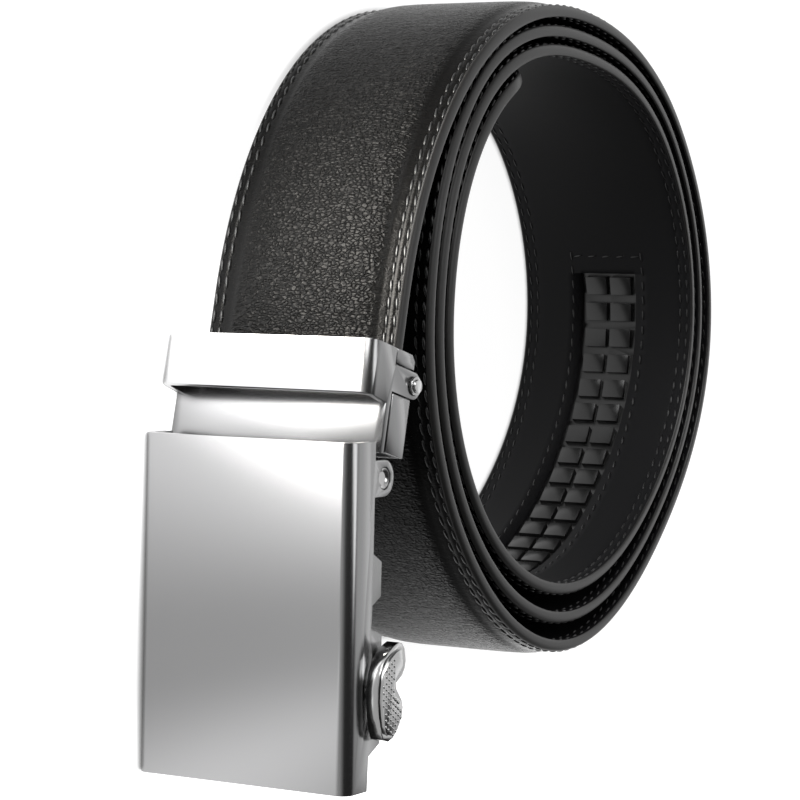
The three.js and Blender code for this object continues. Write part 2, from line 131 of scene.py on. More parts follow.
def inner_radius(turn):
    share = smooth(lambda i: ROUNDNESS[i % len(ROUNDNESS)], turn / ROW_ANGLE)
    return COIL_RADIUS * share + LAP_PITCH * lap_value(LAPS, turn) + CLAMP_STANDOFF * lap_value(STANDOFF, turn)


def route_point(turn):
    a, r = math.radians(turn), inner_radius(turn)
    return np.array([-r * math.sin(a), -r * math.cos(a)])


def heading(turn):
    step = route_point(turn + 0.5) - route_point(turn - 0.5)
    return step / np.linalg.norm(step)


class Route:
    """Strap's inner face as a dense line: places, outward normals and lifts by distance from the strap's end."""

    def __init__(self, step):
        start, way = route_point(0), heading(0)
        rows = [(start - way * STRAP_END * s, way, CLAMP_LIFT) for s in (1, 2 / 3, 1 / 3)]
        count = round(TONGUE_TURN / step)
        self.turns = np.array([TONGUE_TURN * i / count for i in range(count + 1)])
        rows += [(route_point(t), heading(t), CLAMP_LIFT * max(lap_value(LIFT, t), 0)) for t in self.turns]
        self.points = np.array([r[0] for r in rows])
        way = np.array([r[1] for r in rows])
        self.normals = np.stack([-way[:, 1], way[:, 0]], 1)
        self.lifts = np.array([r[2] for r in rows])
        gaps = np.linalg.norm(np.diff(self.points, axis=0), axis=1)
        self.distances = np.concatenate([[0], np.cumsum(gaps)])
        self.length = float(self.distances[-1])
        self.shift = np.zeros(2)

    def at_turn(self, turn):
        return float(np.interp(turn, self.turns, self.distances[3:]))

    def place(self, distance, across, outward):
        """Points in metres for arrays of distance, height across the strap and distance out from its inner face."""
        d = np.asarray(distance, float)
        p = np.stack([np.interp(d, self.distances, self.points[:, k]) for k in (0, 1)], -1)
        n = np.stack([np.interp(d, self.distances, self.normals[:, k]) for k in (0, 1)], -1)
        n /= np.linalg.norm(n, axis=-1, keepdims=True)
        lift = np.interp(d, self.distances, self.lifts)
        t = np.clip((self.length - d) / TONGUE_LENGTH, 0, 1)
        share = 0.5 + 0.5 * np.sqrt(1 - (1 - t) ** 2)
        xy = p + n * np.asarray(outward)[..., None] + self.shift
        z = lift + MID + (np.asarray(across) - MID) * share
        return np.concatenate([xy, z[..., None]], -1) * MM


def make_route():
    """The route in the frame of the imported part: the coarse stations of the part's own lining give the shift."""
    coarse = Route(STATION_STEP)
    face = coarse.points + coarse.normals * LINING
    low = np.minimum(coarse.points.min(0), face.min(0))
    box_low = np.array(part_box("lining_strap")[0][:2]) / MM
    route = Route(1.0)
    route.shift = box_low - low
    return route


ROUTE = make_route()


# Properties

class BeltSizes(bpy.types.PropertyGroup):
    stitch_pitch: FloatProperty(
        name="Stitch pitch", description="Distance from one stitch to the next", default=2.8 * MM, unit="LENGTH")
    slant: FloatProperty(
        name="Slant", description="Turn of each stitch out of its row", default=0.12, unit="ROTATION")
    thread: FloatProperty(
        name="Thread", description="Thickness of the sewing thread", default=0.55 * MM, unit="LENGTH")
    outer_row: FloatProperty(
        name="Outer row", description="Distance of the outer stitch row from the edge", default=1.0 * MM, unit="LENGTH")
    inner_row: FloatProperty(
        name="Inner row", description="Distance of the inner stitch row from the edge", default=2.4 * MM, unit="LENGTH")
    window_row: FloatProperty(
        name="Window seam", description="Width of the seam around the window", default=14.7 * MM, unit="LENGTH")
    grain: FloatProperty(
        name="Grain", description="Width of one pebble of the leather's grain", default=0.5 * MM, unit="LENGTH")
    rounding: FloatProperty(
        name="Edge rounding", description="Radius on the edges of the metal", default=0.22 * MM, unit="LENGTH")
    floor: FloatProperty(
        name="Floor", description="Side of the studio floor", default=6.0, unit="LENGTH")
    stud_pitch: FloatProperty(
        name="Stud pitch", description="Distance between the studs on the knob", default=0.95 * MM, unit="LENGTH")
    # painted contact shadow: reach within which the table's glow is darkened near the belt
    painted_contact_shadow: FloatProperty(
        name="Contact", description="Reach of the dark line where the belt meets the table", default=1.2 * MM,
        unit="LENGTH")
    table_glow: FloatProperty(name="Table", description="Brightness of the light table", default=0.95)
    # painted dimming: the table's glow drops to this far out
    floor_glow: FloatProperty(name="Floor light", description="Brightness of the floor far out", default=0.55)
    # painted pool of light on the table before the clamp, seen mirrored in the case and the clamp
    painted_clamp_glow: FloatProperty(
        name="Clamp glow", description="Extra brightness of the table before the clamp", default=1.3)
    # painted warm pool of light on the table before the strap, seen as a highlight in the leather
    painted_strap_glow: FloatProperty(
        name="Strap glow", description="Extra brightness of the table before the strap", default=60.0)
    # painted pool of light on the table past the case's end, seen mirrored in the case
    painted_end_glow: FloatProperty(
        name="End glow", description="Extra brightness of the table past the case's end", default=1.0)
    wall_light: FloatProperty(name="Walls", description="Brightness of the room at the horizon", default=0.6)
    ceiling_light: FloatProperty(name="Ceiling", description="Brightness of the room overhead", default=0.05)
    back_light: FloatProperty(name="Back box", description="Brightness of the soft box behind", default=1.1)
    top_light: FloatProperty(name="Top box", description="Brightness of the soft box overhead", default=4.0)
    side_light: FloatProperty(name="Side box", description="Brightness of the low soft box in front", default=8.0)


class BeltColours(bpy.types.PropertyGroup):
    leather: FloatVectorProperty(
        name="Leather", description="Colour of the strap's outer leather", default=(0.002, 0.0018, 0.0016),
        subtype="COLOR", size=3)
    lining: FloatVectorProperty(
        name="Lining", description="Colour of the lining", default=(0.005, 0.005, 0.0058), subtype="COLOR", size=3)
    edge: FloatVectorProperty(
        name="Edge paint", description="Colour of the painted edge", default=(0.012, 0.0115, 0.011),
        subtype="COLOR", size=3)
    thread: FloatVectorProperty(
        name="Thread", description="Colour of the thread", default=(0.008, 0.008, 0.008), subtype="COLOR", size=3)
    track: FloatVectorProperty(
        name="Track", description="Colour of the toothed track", default=(0.01, 0.01, 0.01), subtype="COLOR", size=3)
    satin: FloatVectorProperty(
        name="Satin metal", description="Colour of the satin metal", default=(0.27, 0.27, 0.272),
        subtype="COLOR", size=3)
    polished: FloatVectorProperty(
        name="Polished metal", description="Colour of the polished metal", default=(0.46, 0.46, 0.46),
        subtype="COLOR", size=3)
    floor: FloatVectorProperty(
        name="Floor", description="Colour of the studio floor", default=(0.22, 0.22, 0.22), subtype="COLOR", size=3)


def sizes():
    return bpy.context.scene.belt_sizes


def colour(name):
    return (*getattr(bpy.context.scene.belt_colours, name), 1.0)


# Materials

class Nodes:
    """Short way to build a shader tree: each call makes a node and links or sets its inputs."""

    def __init__(self, name):
        self.material = bpy.data.materials.get(name) or bpy.data.materials.new(name)
        self.material.use_nodes = True
        self.tree = self.material.node_tree
        self.tree.nodes.clear()

    def add(self, kind, inputs=None, **options):
        node = self.tree.nodes.new(kind)
        for key, value in options.items():
            setattr(node, key, value)
        for key, value in (inputs or {}).items():
            if isinstance(value, bpy.types.NodeSocket):
                self.tree.links.new(value, node.inputs[key])
            else:
                node.inputs[key].default_value = value
        return node

    def math(self, operation, a, b=0.0):
        return self.add("ShaderNodeMath", {0: a, 1: b}, operation=operation).outputs[0]

    def scaled(self, vector, scale):
        return self.add("ShaderNodeVectorMath", {0: vector, 1: scale}, operation="MULTIPLY").outputs[0]

    def noise(self, place, scales, detail=2.0, roughness=0.5):
        return self.add("ShaderNodeTexNoise", {"Vector": self.scaled(place, scales), "Scale": 1.0, "Detail": detail,
                                               "Roughness": roughness}).outputs[0]

    def ramp(self, value, stops):
        node = self.add("ShaderNodeValToRGB", {0: value})
        for k, (position, shade) in enumerate(stops):
            stop = node.color_ramp.elements[k] if k < 2 else node.color_ramp.elements.new(position)
            stop.position = position
            stop.color = (*shade, 1) if isinstance(shade, tuple) else (shade, shade, shade, 1)
        return node.outputs[0]

    def bump(self, height, strength, distance, normal=None):
        inputs = {"Height": height, "Strength": strength, "Distance": distance}
        if normal is not None:
            inputs["Normal"] = normal
        return self.add("ShaderNodeBump", inputs).outputs[0]

    def finish(self, settings):
        shader = self.add("ShaderNodeBsdfPrincipled", settings)
        self.add("ShaderNodeOutputMaterial", {"Surface": shader.outputs[0]})
        return self.material


def leather_material():
    """Pebbled grain with crosswise wrinkles on the strap's own UV map, which is in metres along and across."""
    m = Nodes("black_leather")
    uv = m.add("ShaderNodeUVMap", uv_map="strap").outputs[0]
    across = m.math("MULTIPLY", m.add("ShaderNodeSeparateXYZ", {0: uv}).outputs[1], 1000.0)
    edge = m.math("MINIMUM", across, m.math("SUBTRACT", STRAP_WIDTH, across))
    padded = m.add("ShaderNodeMapRange", {0: edge, 1: 4.3, 2: 5.8, 3: 0.12, 4: 1.0},
                   interpolation_type="SMOOTHSTEP").outputs[0]
    pebble = sizes().grain
    warp = m.add("ShaderNodeTexNoise", {"Vector": m.scaled(uv, (900, 600, 0)), "Scale": 1.0, "Detail": 2.0})
    even = m.scaled(uv, (1 / pebble, 0.55 / pebble, 0))
    bent = m.add("ShaderNodeVectorMath", {0: even, 1: m.scaled(warp.outputs["Color"], (1.5, 1.2, 0))},
                 operation="ADD").outputs[0]
    cells = m.add("ShaderNodeTexVoronoi", {"Vector": bent, "Scale": 1.0, "Randomness": 1.0},
                  feature="DISTANCE_TO_EDGE")
    pebbles = m.ramp(cells.outputs["Distance"], [(0.0, 0.0), (0.16, 0.7), (0.45, 1.0)])
    wrinkles = m.noise(uv, (1300, 260, 0), 4.0, 0.6)
    fine = m.noise(uv, (9000, 7000, 0), 2.0)
    relief = m.bump(wrinkles, m.math("MULTIPLY", padded, 0.9), 0.35 * MM)
    relief = m.bump(pebbles, m.math("MULTIPLY", padded, 0.9), 0.16 * MM, relief)
    relief = m.bump(fine, 0.2, 0.03 * MM, relief)
    shade = m.add("ShaderNodeMix", {0: pebbles, 6: (0.002, 0.002, 0.002, 1), 7: colour("leather")}, data_type="RGBA")
    rough = m.ramp(wrinkles, [(0.3, 0.2), (0.7, 0.31)])
    return m.finish({"Base Color": shade.outputs[2], "Roughness": rough, "Specular IOR Level": 0.07, "Normal": relief})


def lining_material():
    m = Nodes("lining_leather")
    uv = m.add("ShaderNodeUVMap", uv_map="strap").outputs[0]
    pores = m.noise(uv, (4000, 3500, 0), 4.0)
    patches = m.noise(uv, (60, 90, 0), 3.0)
    shade = m.add("ShaderNodeMix", {0: patches, 6: (0.004, 0.004, 0.0045, 1), 7: colour("lining")}, data_type="RGBA")
    return m.finish({"Base Color": shade.outputs[2], "Roughness": 0.6, "Specular IOR Level": 0.15,
                     "Normal": m.bump(pores, 0.25, 0.04 * MM)})


def edge_material():
    m = Nodes("edge_paint")
    uv = m.add("ShaderNodeUVMap", uv_map="strap").outputs[0]
    streaks = m.noise(uv, (300, 6000, 0), 3.0)
    return m.finish({"Base Color": colour("edge"), "Roughness": 0.42, "Specular IOR Level": 0.5,
                     "Normal": m.bump(streaks, 0.2, 0.03 * MM)})


def thread_material():
    m = Nodes("black_thread")
    place = m.add("ShaderNodeTexCoord").outputs["Object"]
    twist = m.noise(place, (5000, 5000, 5000))
    return m.finish({"Base Color": colour("thread"), "Roughness": 0.28, "Specular IOR Level": 0.5,
                     "Normal": m.bump(twist, 0.3, 0.05 * MM)})


def track_material():
    m = Nodes("track_plastic")
    place = m.add("ShaderNodeTexCoord").outputs["Object"]
    speckle = m.noise(place, (2500, 2500, 2500), 3.0)
    return m.finish({"Base Color": colour("track"), "Roughness": 0.32, "Specular IOR Level": 0.5,
                     "Normal": m.bump(speckle, 0.15, 0.02 * MM)})


def satin_material():
    m = Nodes("satin_metal")
    place = m.add("ShaderNodeTexCoord").outputs["Object"]
    lines = m.noise(place, (700, 9000, 9000), 3.0)
    return m.finish({"Base Color": colour("satin"), "Metallic": 1.0, "Roughness": 0.25,
                     "Normal": m.bump(lines, 0.06, 0.01 * MM)})


def polished_material():
    m = Nodes("polished_metal")
    place = m.add("ShaderNodeTexCoord").outputs["Object"]
    wear = m.noise(place, (900, 900, 900))
    rough = m.ramp(wear, [(0.3, 0.1), (0.7, 0.18)])
    return m.finish({"Base Color": colour("polished"), "Metallic": 1.0, "Roughness": rough})


# Meshes

def new_piece(name, vertices, faces, materials, body, zones=None, uvs=None):
    """Mesh object at the origin with its materials, riding on a body."""
    data = bpy.data.meshes.new(name)
    data.from_pydata([tuple(v) for v in vertices], [], [tuple(f) for f in faces])
    for material in materials:
        data.materials.append(material)
    if zones is not None:
        data.polygons.foreach_set("material_index", zones)
    if uvs is not None:
        layer = data.uv_layers.new(name="strap")
        layer.data.foreach_set("uv", np.asarray(uvs, np.float32).ravel())
    data.update()
    piece = bpy.data.objects.new(name, data)
    bpy.context.scene.collection.objects.link(piece)
    piece.data.shade_smooth()
    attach(piece, body)
    return piece


# Outline of one half of the strap's section, from the middle of the lining round the edge to the middle of the
# padded face: height from the edge, distance out from the lining's face, zone of the stretch up to the next point
LINING_ZONE, EDGE_ZONE, GRAIN_ZONE = 0, 1, 2
HALF_SECTION = (
    (9.0, 0.0, LINING_ZONE), (6.0, 0.0, LINING_ZONE), (4.0, 0.0, LINING_ZONE), (2.9, 0.0, LINING_ZONE),
    (2.65, 0.03, LINING_ZONE), (2.4, 0.1, LINING_ZONE), (2.15, 0.03, LINING_ZONE), (1.3, 0.03, LINING_ZONE),
    (1.0, 0.1, LINING_ZONE), (0.7, 0.03, LINING_ZONE), (0.3, 0.0, EDGE_ZONE), (0.1, 0.06, EDGE_ZONE),
    (0.0, 0.22, EDGE_ZONE), (0.0, 0.6, EDGE_ZONE), (0.02, 1.0, EDGE_ZONE), (0.1, 1.35, EDGE_ZONE),
    (0.24, 1.65, EDGE_ZONE), (0.43, 1.87, EDGE_ZONE), (0.65, 1.99, GRAIN_ZONE), (0.82, 1.97, GRAIN_ZONE),
    (1.0, 1.89, GRAIN_ZONE), (1.2, 1.98, GRAIN_ZONE), (1.6, 2.08, GRAIN_ZONE), (2.0, 2.09, GRAIN_ZONE),
    (2.2, 2.04, GRAIN_ZONE), (2.4, 1.95, GRAIN_ZONE), (2.62, 2.02, GRAIN_ZONE), (3.0, 2.1, GRAIN_ZONE),
    (3.6, 2.16, GRAIN_ZONE), (4.2, 2.28, GRAIN_ZONE), (4.8, 2.5, GRAIN_ZONE), (5.5, 2.68, GRAIN_ZONE),
    (6.6, 2.8, GRAIN_ZONE), (8.5, 2.87, GRAIN_ZONE), (11.0, 2.9, GRAIN_ZONE), (14.0, 2.9, GRAIN_ZONE),
    (16.5, 2.9, GRAIN_ZONE),
)
POCKET_DEPTH = 1.25


def strap_section():
    """Closed section: low half, high half mirrored, and four points for the window's pocket in the lining."""
    half = WINDOW_WIDTH / 2
    low = [list(p) for p in HALF_SECTION]
    high = []
    for k in range(len(HALF_SECTION) - 1, -1, -1):
        across, out, _ = HALF_SECTION[k]
        high.append([STRAP_WIDTH - across, out, HALF_SECTION[k - 1][2] if k else LINING_ZONE])
    pocket = [[MID + half, 0.0, LINING_ZONE], [MID + half - 0.3, 0.0, LINING_ZONE],
              [MID - half + 0.3, 0.0, LINING_ZONE], [MID - half, 0.0, LINING_ZONE]]
    return low + high + pocket


def make_strap():
    section = strap_section()
    count = len(section)
    across = np.array([p[0] for p in section])
    outward = np.array([p[1] for p in section])
    zone = np.array([p[2] for p in section])
    start = ROUTE.at_turn(WINDOW_START_TURN)
    end = ROUTE.length - WINDOW_TONGUE_MARGIN
    lip = 0.03
    steps = [s for s in np.arange(0, ROUTE.length, 1.5) if min(abs(s - start), abs(s - end)) > 0.3]
    steps = sorted(steps + [start, start + lip, end - lip, end, ROUTE.length])
    deep_across = across.copy()
    deep_outward = outward.copy()
    half = WINDOW_WIDTH / 2
    deep_across[-3:-1] = [MID + half, MID - half]
    deep_outward[-3:-1] = POCKET_DEPTH
    rows = []
    for s in steps:
        inside = start + lip / 2 < s < end - lip / 2
        a, o = (deep_across, deep_outward) if inside else (across, outward)
        rows.append(ROUTE.place(np.full(count, s), a, o))
    vertices = np.concatenate(rows)
    faces, zones, uvs = [], [], []
    for k in range(len(steps) - 1):
        for i in range(count):
            j = (i + 1) % count
            a, b = k * count + i, k * count + j
            faces.append((a, a + count, b + count, b))
            zones.append(zone[i])
            u0, u1 = steps[k] * MM, steps[k + 1] * MM
            v0, v1 = (outward[i] * MM, outward[j] * MM) if zone[i] == EDGE_ZONE else (across[i] * MM, across[j] * MM)
            uvs += [(u0, v0), (u1, v0), (u1, v1), (u0, v1)]
    last = (len(steps) - 1) * count
    for ring in (range(count - 1, -1, -1), range(last, last + count)):
        faces.append(tuple(ring)[::-1])
        zones.append(EDGE_ZONE)
        uvs += [(0, 0)] * count
    piece = new_piece("strap", vertices, faces, [lining_material(), edge_material(), leather_material()],
                      "belt", zones, uvs)
    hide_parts("leather_strap", "lining_strap")
    return piece


def node_group(name, rows, numbers):
    """New geometry node group with its inputs, and a short way to add a node with its inputs linked or set."""
    tree = bpy.data.node_groups.new(name, "GeometryNodeTree")
    tree.interface.new_socket(rows, in_out="INPUT", socket_type="NodeSocketGeometry")
    for socket, kind in numbers:
        tree.interface.new_socket(socket, in_out="INPUT", socket_type="NodeSocket" + kind)
    tree.interface.new_socket("Result", in_out="OUTPUT", socket_type="NodeSocketGeometry")

    def add(kind, inputs, **options):
        node = tree.nodes.new(kind)
        for key, value in options.items():
            setattr(node, key, value)
        for key, value in inputs.items():
            if isinstance(value, bpy.types.NodeSocket):
                tree.links.new(value, node.inputs[key])
            else:
                node.inputs[key].default_value = value
        return node

    return tree, add


def stitch_nodes():
    """Geometry nodes that lay stitches along the edges of a mesh, turned by its attribute outward."""
    tree, add = node_group("stitches", "Rows", (
        ("Pitch", "Float"), ("Length", "Float"), ("Thread", "Float"), ("Slant", "Float"), ("Seed", "Int"),
        ("Material", "Material")))
    given = tree.nodes.new("NodeGroupInput").outputs
    curves = add("GeometryNodeMeshToCurve", {"Mesh": given["Rows"]})
    places = add("GeometryNodeResampleCurve", {"Curve": curves.outputs[0], "Length": given["Pitch"]}, mode="LENGTH")
    outward = add("GeometryNodeInputNamedAttribute", {"Name": "outward"}, data_type="FLOAT_VECTOR").outputs[0]
    tangent = tree.nodes.new("GeometryNodeInputTangent").outputs[0]
    upright = add("FunctionNodeAlignRotationToVector", {"Vector": outward}, axis="Z")
    turned = add("FunctionNodeAlignRotationToVector", {"Rotation": upright.outputs[0], "Vector": tangent},
                 axis="X", pivot_axis="Z")
    wander = add("FunctionNodeRandomValue", {2: -0.06, 3: 0.06, "Seed": given["Seed"]}, data_type="FLOAT")
    slant = add("ShaderNodeMath", {0: given["Slant"], 1: wander.outputs[1]}, operation="ADD")
    turn = add("ShaderNodeCombineXYZ", {"Z": slant.outputs[0]})
    slanted = add("FunctionNodeRotateRotation", {"Rotation": turned.outputs[0], "Rotate By": turn.outputs[0]},
                  rotation_space="LOCAL")
    ball = add("GeometryNodeMeshUVSphere", {"Segments": 8, "Rings": 5, "Radius": 0.5})
    size = add("ShaderNodeCombineXYZ", {"X": given["Length"], "Y": given["Thread"], "Z": given["Thread"]})
    stitch = add("GeometryNodeTransform", {"Geometry": ball.outputs[0], "Scale": size.outputs[0]})
    copies = add("GeometryNodeInstanceOnPoints", {"Points": places.outputs[0], "Instance": stitch.outputs[0],
                                                  "Rotation": slanted.outputs[0]})
    real = add("GeometryNodeRealizeInstances", {"Geometry": copies.outputs[0]})
    smooth_faces = add("GeometryNodeSetShadeSmooth", {0: real.outputs[0]})
    painted = add("GeometryNodeSetMaterial", {"Geometry": smooth_faces.outputs[0], "Material": given["Material"]})
    add("NodeGroupOutput", {0: painted.outputs[0]})
    return tree


def from_nodes(name, tree, rows, settings, body):
    """Plain mesh made by a node tree from chains of points with outward normals, riding on a body."""
    points, normals, edges = [], [], []
    for line, outward in rows:
        first = len(points)
        points += [tuple(p) for p in line]
        normals += [tuple(n) for n in outward]
        edges += [(first + i, first + i + 1) for i in range(len(line) - 1)]
    data = bpy.data.meshes.new(name + "_rows")
    data.from_pydata(points, edges, [])
    data.attributes.new("outward", "FLOAT_VECTOR", "POINT").data.foreach_set("vector", np.ravel(normals))
    piece = bpy.data.objects.new(name, data)
    bpy.context.scene.collection.objects.link(piece)
    modifier = piece.modifiers.new("Nodes", "NODES")
    modifier.node_group = tree
    sockets = {s.name: s.identifier for s in tree.interface.items_tree if s.in_out == "INPUT"}
    for key, value in settings.items():
        modifier[sockets[key]] = value
    graph = bpy.context.evaluated_depsgraph_get()
    plain = bpy.data.meshes.new_from_object(piece.evaluated_get(graph))
    piece.modifiers.clear()
    piece.data = plain
    if not plain.polygons:
        raise RuntimeError(name + " came out empty")
    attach(piece, body)
    return piece


def strap_row(across, outward, start, end, side):
    """Chain of points along the strap at one height, with its normals; side -1 faces the coil's inside."""
    d = np.append(np.arange(start, end, 1.0), end)
    line = ROUTE.place(d, np.full(len(d), across), np.full(len(d), outward))
    n = np.stack([np.interp(d, ROUTE.distances, ROUTE.normals[:, k]) for k in (0, 1)] + [0 * d], -1)
    return line, n * side


def make_stitches():
    thread = thread_material()
    s = sizes()
    common = {"Pitch": s.stitch_pitch, "Slant": s.slant, "Seed": 3, "Material": thread}
    begin, end = 1.0, ROUTE.length - 6.0
    outer_rows, lining_rows = [], []
    for distance, outer in ((s.outer_row / MM, 1.93), (s.inner_row / MM, 2.0)):
        for across in (distance, STRAP_WIDTH - distance):
            outer_rows.append(strap_row(across, outer, begin, end, 1))
            lining_rows.append(strap_row(across, 0.07, begin, end, -1))
    half, start = s.window_row / MM / 2, ROUTE.at_turn(WINDOW_START_TURN - 4)
    finish = ROUTE.length - WINDOW_TONGUE_MARGIN + 3
    for across in (MID - half, MID + half):
        lining_rows.append(strap_row(across, 0.0, start, finish, -1))
    across = np.arange(MID - half + 1.4, MID + half - 1.3, 1.0)
    for place in (start, finish):
        _, normal = strap_row(MID, 0.0, place, place + 0.5, -1)
        lining_rows.append((ROUTE.place(np.full(len(across), place), across, np.zeros(len(across))),
                            [normal[0]] * len(across)))
    tree = stitch_nodes()
    from_nodes("outer_stitches", tree, outer_rows, common | {"Length": 2.3 * MM, "Thread": s.thread},
               "belt")
    from_nodes("lining_stitches", tree, lining_rows, common | {"Length": 2.0 * MM, "Thread": s.thread * 0.7},
               "belt")


def rounded_copy(node, name, body, material, rounding, rim=0.0, dip=0.0):
    """Piece from a merged copy of a CAD node, with its edges rounded and its top sunk inside a rim."""
    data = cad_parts[node].data.copy()
    data.name = name
    mesh = bmesh.new()
    mesh.from_mesh(data)
    bmesh.ops.remove_doubles(mesh, verts=mesh.verts, dist=0.002 * MM)
    bmesh.ops.dissolve_limit(mesh, angle_limit=math.radians(0.8), verts=mesh.verts, edges=mesh.edges)
    if rim:
        top = max(mesh.faces, key=lambda f: (round(f.calc_center_median().z, 6), f.calc_area()))
        bmesh.ops.inset_region(mesh, faces=[top], thickness=rim, depth=-dip, use_even_offset=True)
    mesh.to_mesh(data)
    mesh.free()
    data.materials.clear()
    data.materials.append(material)
    piece = bpy.data.objects.new(name, data)
    bpy.context.scene.collection.objects.link(piece)
    bevel = piece.modifiers.new("Edges", "BEVEL")
    bevel.width, bevel.segments = rounding, 3
    bevel.limit_method, bevel.angle_limit = "ANGLE", math.radians(28)
    bevel.use_clamp_overlap = True
    bevel.harden_normals = True
    graph = bpy.context.evaluated_depsgraph_get()
    plain = bpy.data.meshes.new_from_object(piece.evaluated_get(graph))
    piece.modifiers.clear()
    piece.data = plain
    plain.shade_smooth()
    plain.set_sharp_from_angle(angle=math.radians(35))
    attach(piece, body)
    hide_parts(node)
    return piece


def stud_nodes():
    """Geometry nodes that set a low round stud on each point of a mesh."""
    tree, add = node_group("studs", "Places", (("Radius", "Float"), ("Height", "Float"), ("Material", "Material")))
    given = tree.nodes.new("NodeGroupInput").outputs
    size = add("ShaderNodeCombineXYZ", {"X": given["Radius"], "Y": given["Radius"], "Z": given["Height"]})
    ball = add("GeometryNodeMeshUVSphere", {"Segments": 10, "Rings": 6, "Radius": 1.0})
    stud = add("GeometryNodeTransform", {"Geometry": ball.outputs[0], "Scale": size.outputs[0]})
    places = add("GeometryNodeMeshToPoints", {"Mesh": given["Places"]})
    copies = add("GeometryNodeInstanceOnPoints", {"Points": places.outputs[0], "Instance": stud.outputs[0]})
    real = add("GeometryNodeRealizeInstances", {"Geometry": copies.outputs[0]})
    smooth_faces = add("GeometryNodeSetShadeSmooth", {0: real.outputs[0]})
    painted = add("GeometryNodeSetMaterial", {"Geometry": smooth_faces.outputs[0], "Material": given["Material"]})
    add("NodeGroupOutput", {0: painted.outputs[0]})
    return tree


def make_studs(material):
    """Rows of low studs on the face of the knob's long lobe."""
    pivot, turn = Vector(KNOB_PIVOT), math.radians(CASE_TURN)
    along, deep = Vector((math.cos(turn), math.sin(turn))), Vector((-math.sin(turn), math.cos(turn)))
    pitch = sizes().stud_pitch / MM
    places = []
    for row in range(-8, 9):
        for column in range(-5, 6):
            a, d = (row + 0.5 * (column % 2)) * pitch, column * pitch * 0.8
            in_short_lobe = a < -0.8 and d > 1.4
            if knob_reach(a, d) < STUD_MARGIN or in_short_lobe:
                continue
            spot = pivot + along * a + deep * d
            places.append(([(spot.x * MM, spot.y * MM, KNOB_FACE * MM)], [(0, 0, 1)]))
    settings = {"Radius": STUD_RADIUS * MM, "Height": STUD_HEIGHT * MM, "Material": material}
    from_nodes("knob_studs", stud_nodes(), places, settings, "release")


def knob_reach(a, d):
    """Distance in millimetres from a point to the knob's outline, negative outside."""
    count, inside, nearest = len(KNOB_OUTLINE), False, 99.0
    for k in range(count):
        (x0, y0), (x1, y1) = [(u * KNOB_LENGTH, v * KNOB_DEPTH) for u, v in
                              (KNOB_OUTLINE[k], KNOB_OUTLINE[(k + 1) % count])]
        if (y0 > d) != (y1 > d) and a < (x1 - x0) * (d - y0) / (y1 - y0) + x0:
            inside = not inside
        t = ((a - x0) * (x1 - x0) + (d - y0) * (y1 - y0)) / ((x1 - x0) ** 2 + (y1 - y0) ** 2)
        t = min(max(t, 0.0), 1.0)
        nearest = min(nearest, math.hypot(a - x0 - t * (x1 - x0), d - y0 - t * (y1 - y0)))
    return nearest if inside else -nearest


# Stage

def look_from(camera, place, right, up):
    back = right.cross(up)
    camera.matrix_world = Matrix.Translation(place) @ Matrix((right, up, back)).transposed().to_4x4()


def table_material():
    """Pale floor glowing as a light table, with its glow dimmed far out as painted shade, painted pools of light before
    the clamp, before the strap and past the case's end, and a painted contact shadow where the belt meets it.
    """
    m = Nodes("pale_floor")
    place = m.scaled(m.add("ShaderNodeTexCoord").outputs["Object"], (1000, 1000, 1000))
    axes = m.add("ShaderNodeSeparateXYZ", {0: place}).outputs

    def band(value, low, high):
        return m.add("ShaderNodeMapRange", {0: value, 1: low, 2: high, 3: 0.0, 4: 1.0},
                     interpolation_type="SMOOTHSTEP", clamp=True).outputs[0]

    def tinted(tint, strength):
        return m.add("ShaderNodeVectorMath", {0: tint, 3: strength}, operation="SCALE").outputs[0]

    # bounds of the table: beyond them the glow fades to the far-out level as painted dimming
    left = m.math("ADD", axes[0], m.math("MULTIPLY", axes[1], 0.148))
    right = m.math("SUBTRACT", axes[0], m.math("MULTIPLY", axes[1], 0.105))
    table = m.math("MULTIPLY", m.math("MULTIPLY", band(left, -112.0, -71.0), band(right, 124.0, 80.0)),
                   m.math("MULTIPLY", band(axes[1], -210.0, -150.0), band(axes[1], 330.0, 230.0)))
    # painted pool of light before the clamp, placed where the case's face mirrors the table
    front = band(axes[1], -48.0, -72.0)
    mirrored = m.math("SUBTRACT", m.math("SUBTRACT", axes[0], m.math("MULTIPLY", axes[1], 0.07)), 4.9)
    ramp = m.math("ADD", band(mirrored, 44.0, 4.0), m.math("MULTIPLY", band(mirrored, 12.0, -8.0), 3.0))
    painted_clamp_pool = m.math("MULTIPLY", m.math("MULTIPLY", front, ramp), sizes().painted_clamp_glow)
    # painted pool of light past the case's end
    painted_end_pool = m.math("MULTIPLY", band(axes[0], 50.0, 74.0), sizes().painted_end_glow)
    near = m.math("ADD", m.math("ADD", painted_clamp_pool, painted_end_pool), sizes().table_glow - sizes().floor_glow)
    even = m.math("ADD", m.math("MULTIPLY", table, near), sizes().floor_glow)
    # painted warm pool of light before the strap, seen as a highlight in the leather
    spot = m.add("ShaderNodeVectorMath", {0: place, 1: (-44.0, -116.0, 0.0)}, operation="DISTANCE").outputs["Value"]
    painted_strap_pool = m.math("MULTIPLY", m.math("MULTIPLY", band(spot, 56.0, 8.0), band(axes[0], -8.0, -26.0)),
                          sizes().painted_strap_glow)
    glow = m.add("ShaderNodeVectorMath", {0: tinted((1, 1, 1), even), 1: tinted((1.0, 0.95, 0.87), painted_strap_pool)},
                 operation="ADD").outputs[0]
    # painted contact shadow: ambient occlusion darkens the table's glow where the belt meets the table
    painted_contact_shadow = m.add("ShaderNodeAmbientOcclusion", {"Distance": sizes().painted_contact_shadow}, samples=8).outputs["AO"]
    return m.finish({"Base Color": colour("floor"), "Roughness": 0.8, "Specular IOR Level": 0.1,
                     "Emission Color": glow, "Emission Strength": painted_contact_shadow})


